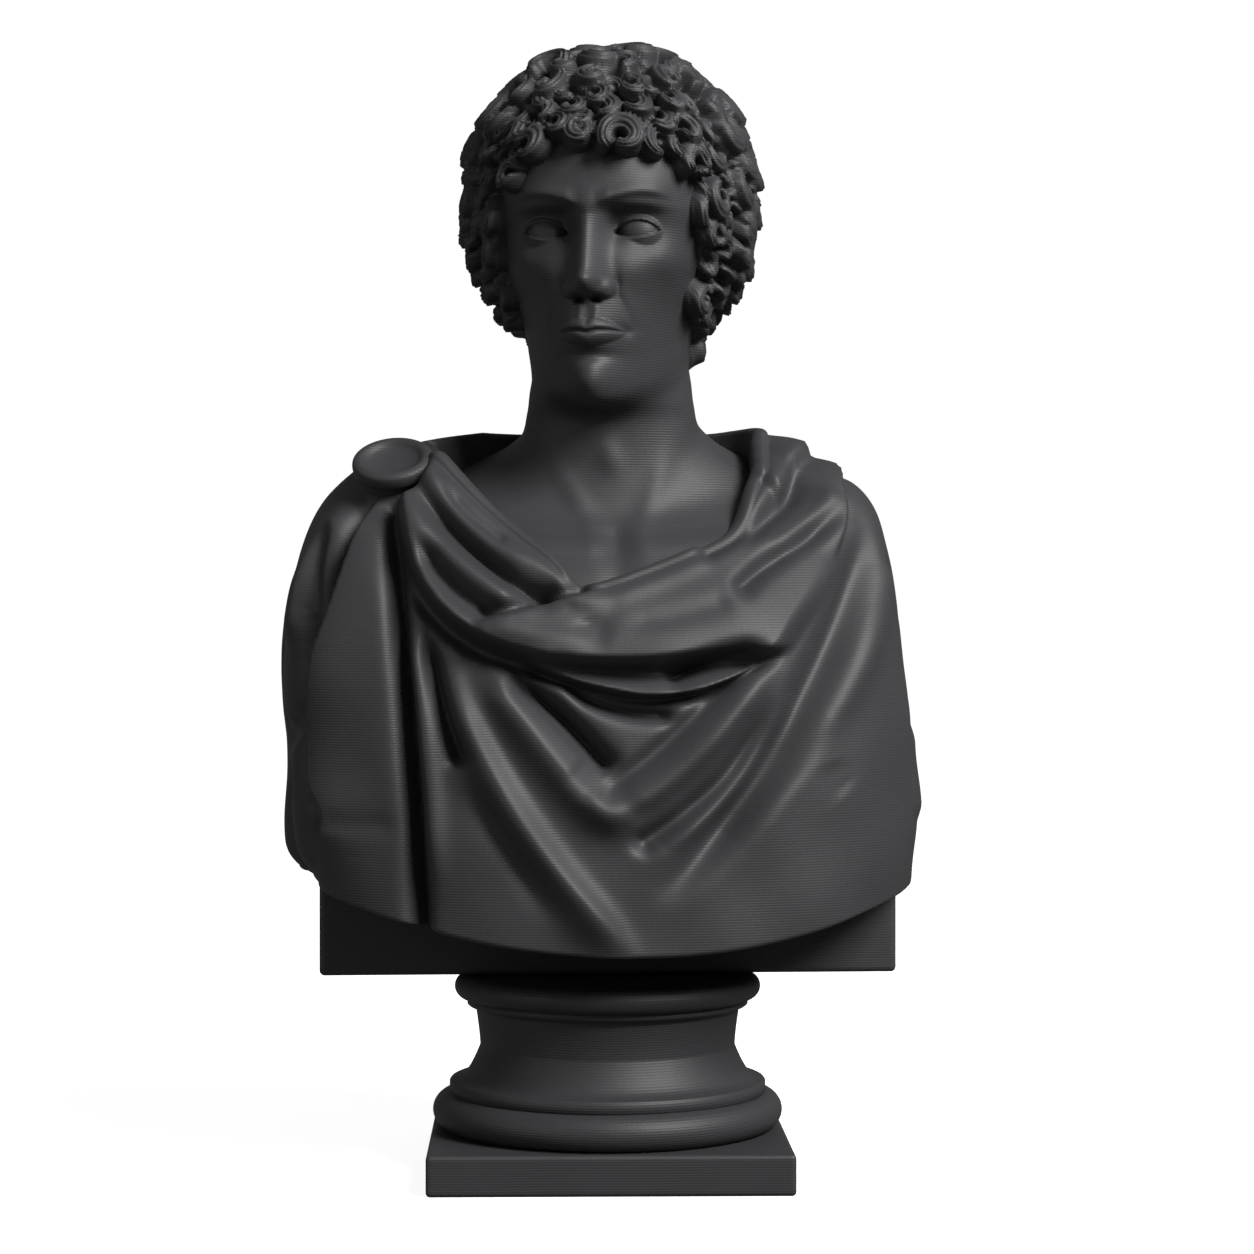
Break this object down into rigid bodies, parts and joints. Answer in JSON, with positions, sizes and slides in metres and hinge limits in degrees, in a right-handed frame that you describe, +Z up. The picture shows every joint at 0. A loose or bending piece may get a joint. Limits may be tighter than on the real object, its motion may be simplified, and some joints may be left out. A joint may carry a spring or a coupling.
{
  "type": "portrait bust on socle",
  "caption": "Small printed bust of a curly-haired ruler in a draped, brooched mantle, resting on a turned socle with a square plinth",
  "frame": {"origin": "middle of the square plinth's underside, which stands on the table", "axes": "+Z up through the head, -Y the way the bust looks, +X to its left hand"},
  "size_m": [0.0768, 0.0481, 0.1341],
  "materials": {
    "bust_plastic": "matt charcoal printed plastic with fine level layer lines",
    "socle_plastic": "matt charcoal printed plastic with fine level layer lines"
  },
  "bodies": {
    "root": {"bust": "bust_plastic", "socle": "socle_plastic"}
  },
  "joints": []
}
